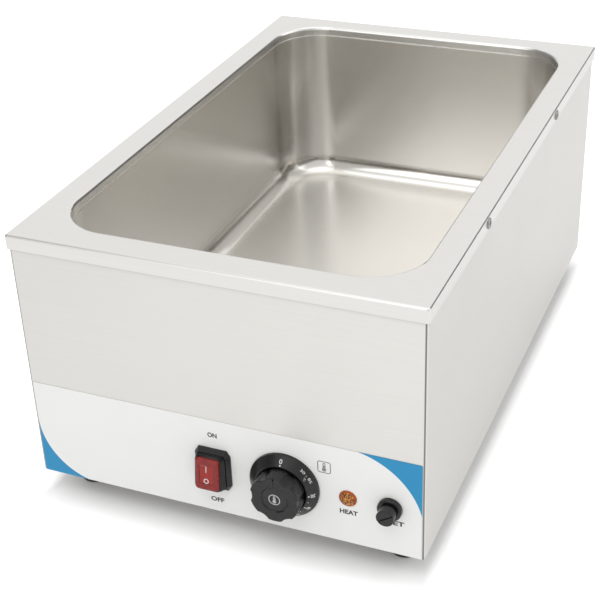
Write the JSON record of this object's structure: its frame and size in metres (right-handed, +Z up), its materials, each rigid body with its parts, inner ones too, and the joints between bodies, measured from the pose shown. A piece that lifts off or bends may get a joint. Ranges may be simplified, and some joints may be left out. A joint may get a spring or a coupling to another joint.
{
  "type": "bain-marie",
  "caption": "Countertop wet-well bain-marie: stainless body on rubber feet, rectangular well for a gastronorm pan, front controls with switch, thermostat dial, heat lamp and reset.",
  "frame": {"origin": "on the table, under the middle of the body", "axes": "+X to the right seen from the front, +Y to the back away from the controls, +Z up"},
  "size_m": [0.3424, 0.5777, 0.248],
  "materials": {
    "deck_steel": "fine brushed stainless",
    "tank_steel": "satin drawn stainless",
    "body_steel": "fine brushed stainless",
    "panel_steel": "mill-finish stainless",
    "label_film": "white film with blue corners",
    "foot_rubber": "black rubber",
    "screw_steel": "plain stainless screws",
    "switch_black": "black moulded plastic",
    "boot_rubber": "soft black rubber",
    "rocker_red": "red translucent plastic",
    "lens_red": "lit red window",
    "dial_black": "black moulded plastic",
    "knob_black": "black moulded plastic",
    "cap_black": "black disc with a white pictogram",
    "control_plastic": "moulded control housings",
    "plated_steel": "zinc-plated steel",
    "tab_brass": "tinned brass tabs",
    "sensor_copper": "copper capillary and bulb",
    "lamp_amber": "amber faceted lens",
    "lamp_rim": "dark amber flange",
    "reset_black": "black moulded plastic",
    "pin_red": "red pin",
    "element_steel": "heat-stained element sheath",
    "gland_black": "black moulded gland",
    "block_cream": "cream moulded block",
    "lead_insulation": "laced black silicone leads",
    "clip_nylon": "natural nylon clips"
  },
  "bodies": {
    "root": {"top_deck": "deck_steel", "water_tank": "tank_steel", "body_wrap": "body_steel", "back_panel": "panel_steel", "base_plate": "panel_steel", "fascia_label": "label_film", "foot_front_left": "foot_rubber", "foot_front_right": "foot_rubber", "foot_rear_left": "foot_rubber", "foot_rear_right": "foot_rubber", "foot_screws": "screw_steel", "foot_nuts": "plated_steel", "deck_screws": "screw_steel", "deck_nuts": "plated_steel", "base_screws": "screw_steel", "panel_screws": "screw_steel", "switch_frame": "switch_black", "switch_housing": "switch_black", "switch_terminals": "tab_brass", "switch_boot": "boot_rubber", "dial_ring": "dial_black", "thermostat_body": "control_plastic", "thermostat_bracket": "plated_steel", "thermostat_screws": "plated_steel", "thermostat_terminals": "tab_brass", "thermostat_sensor": "sensor_copper", "lamp_lens": "lamp_amber", "lamp_body": "lamp_rim", "lamp_nut": "gland_black", "reset_collar": "reset_black", "limiter_body": "control_plastic", "limiter_bracket": "plated_steel", "limiter_terminals": "tab_brass", "limiter_sensor": "sensor_copper", "heating_element": "element_steel", "element_pins": "plated_steel", "clamp_bars": "plated_steel", "tank_studs": "plated_steel", "bar_nuts": "plated_steel", "gland_body": "gland_black", "gland_nut": "gland_black", "gland_seal": "boot_rubber", "gland_locknut": "gland_black", "bonding_stud": "plated_steel", "bonding_nut": "plated_steel", "terminal_block": "block_cream", "wiring_harness": "lead_insulation", "harness_clips": "clip_nylon"},
    "rocker": {"switch_rocker": "rocker_red", "switch_lens": "lens_red", "switch_carrier": "switch_black"},
    "knob": {"thermostat_knob": "knob_black", "knob_cap": "cap_black", "thermostat_spindle": "plated_steel"},
    "slotted_cap": {"reset_cap": "reset_black"},
    "reset_pin": {"reset_button": "pin_red"}
  },
  "joints": [
    {"name": "rocker_tilt", "type": "hinge", "parent": "root", "child": "rocker", "pos_m": [-0.0057, -0.2675, 0.068], "axis": [1, 0, 0], "range_deg": [0, 16.8], "deforming": ["switch_boot"]},
    {"name": "knob_turn", "type": "hinge", "parent": "root", "child": "knob", "pos_m": [0.055, -0.2685, 0.068], "axis": [0, 1, 0], "range_deg": [0, 265]},
    {"name": "cap_removal", "type": "slide", "parent": "root", "child": "slotted_cap", "axis": [0, -1, 0], "range_m": [0, 0.02]},
    {"name": "reset_press", "type": "slide", "parent": "root", "child": "reset_pin", "axis": [0, 1, 0], "range_m": [0, 0.002], "stiffness_N_per_m": 600}
  ]
}
